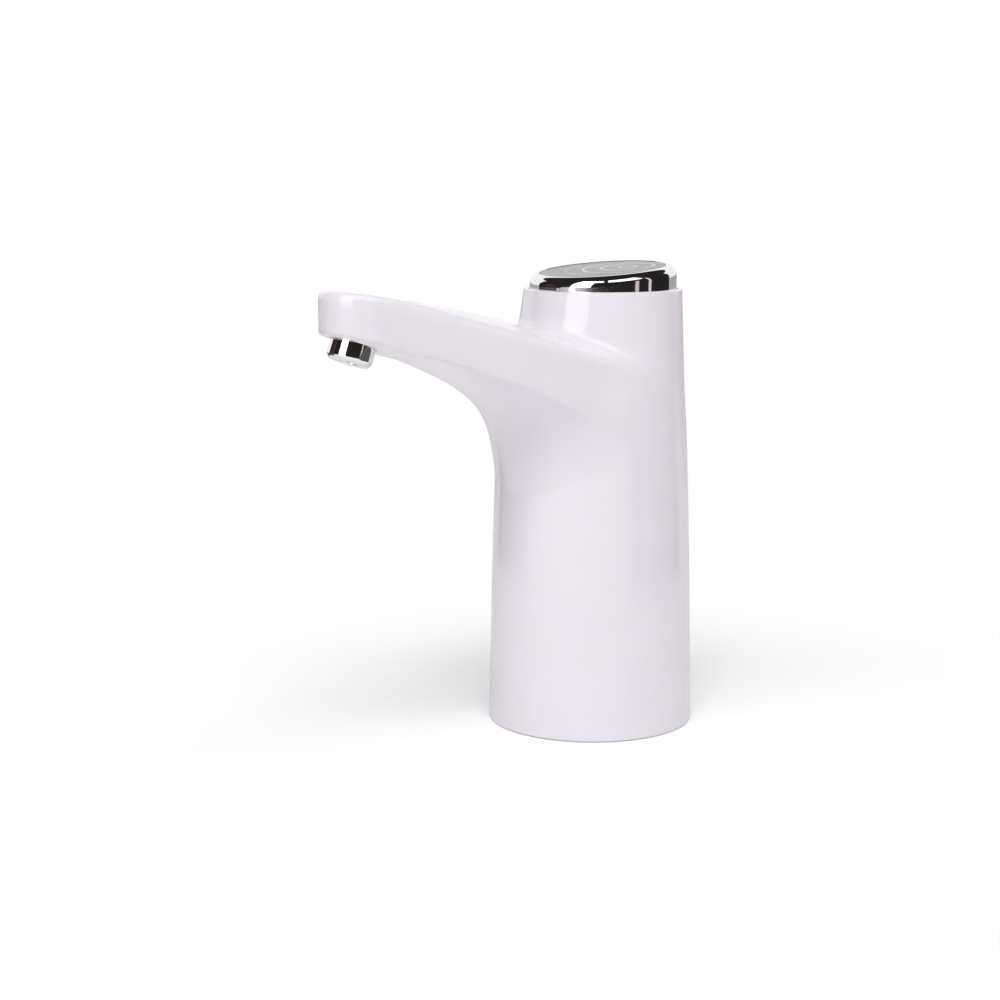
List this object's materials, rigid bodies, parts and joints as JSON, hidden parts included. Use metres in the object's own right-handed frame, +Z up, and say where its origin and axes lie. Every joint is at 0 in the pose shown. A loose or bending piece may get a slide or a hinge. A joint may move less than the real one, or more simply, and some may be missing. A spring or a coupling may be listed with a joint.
{
  "type": "rechargeable water jug pump",
  "caption": "Rechargeable pump that stands on the neck of a water jug: round glossy column, long spout arm with a nozzle at its tip, and a sprung chrome push button on top.",
  "frame": {"origin": "centre of the neck socket's mouth, on the plane the housing's rim stands on", "axes": "+Z up along the column and the neck socket, the spout arm points along -X, +Y to the left of someone who looks along +X"},
  "size_m": [0.1223, 0.06, 0.1348],
  "materials": {
    "shell": "glossy moulded ABS, pinkish white",
    "insert_plastic": "moulded ABS, white",
    "silicone_white": "soft white silicone",
    "screw_steel": "zinc-plated steel",
    "tube_silicone": "translucent food-grade silicone",
    "pump_plastic": "glass-filled plastic, dark grey",
    "seal_rubber": "black nitrile rubber",
    "gear_plastic": "acetal, off-white",
    "ground_steel": "ground steel",
    "can_steel": "nickel-plated drawn steel",
    "ferrite": "sintered ferrite, dark grey",
    "cap_plastic": "white nylon",
    "bronze": "sintered bronze",
    "winding": "enamelled copper wire",
    "cell_wrap": "blue shrink-wrapped can",
    "deck_plastic": "black ABS",
    "chrome_trim": "bright chrome plate",
    "face_metal": "silver-grey lacquered disc",
    "board_green": "green solder mask",
    "chip_black": "black moulding compound",
    "socket_steel": "nickel-plated sheet steel",
    "spring_steel": "spring wire",
    "lead_red": "red insulated wire",
    "lead_black": "black insulated wire"
  },
  "bodies": {
    "frame": {"housing": "shell", "base_insert": "insert_plastic", "neck_gasket": "silicone_white", "base_screws": "screw_steel", "inlet_tube": "tube_silicone", "pump_body": "pump_plastic", "pump_cover": "pump_plastic", "pump_screws": "screw_steel", "shaft_seal": "seal_rubber", "gear_pin": "ground_steel", "motor_can": "can_steel", "motor_magnets": "ferrite", "motor_end_cap": "cap_plastic", "motor_bushes": "bronze", "motor_sleeve": "seal_rubber", "battery_cell": "cell_wrap", "battery_cradle": "deck_plastic", "outlet_tube": "tube_silicone", "outlet_elbow": "insert_plastic", "nozzle_ring": "seal_rubber", "nozzle": "chrome_trim", "flow_straightener": "insert_plastic", "switch_deck": "deck_plastic", "deck_screws": "screw_steel", "control_board": "board_green", "board_parts": "chip_black", "switch_body": "chip_black", "charging_socket": "socket_steel", "return_spring": "spring_steel", "motor_leads": "lead_red", "battery_leads": "lead_black"},
    "button": {"button_cap": "chrome_trim", "button_face": "face_metal"},
    "plunger": {"switch_plunger": "cap_plastic"},
    "rotor": {"motor_shaft": "ground_steel", "armature": "winding", "commutator": "winding", "drive_gear": "gear_plastic"},
    "idler": {"driven_gear": "gear_plastic"}
  },
  "joints": [
    {"name": "button_press", "type": "slide", "parent": "frame", "child": "button", "axis": [0, 0, -1], "range_m": [0, 0.0005], "stiffness_N_per_m": 600, "springref_m": -0.002, "deforming": ["return_spring"]},
    {"name": "plunger_press", "type": "slide", "parent": "frame", "child": "plunger", "axis": [0, 0, -1], "range_m": [0, 0.0005]},
    {"name": "rotor_spin", "type": "hinge", "parent": "frame", "child": "rotor", "pos_m": [-0.0095, 0, 0.058], "axis": [0, 0, 1], "continuous": true},
    {"name": "idler_spin", "type": "hinge", "parent": "frame", "child": "idler", "pos_m": [-0.0095, -0.01, 0.05], "axis": [0, 0, 1], "continuous": true}
  ],
  "couplings": [
    {"joint": "plunger_press", "follows": "button_press", "ratio": 1},
    {"joint": "idler_spin", "follows": "rotor_spin", "ratio": -1}
  ]
}
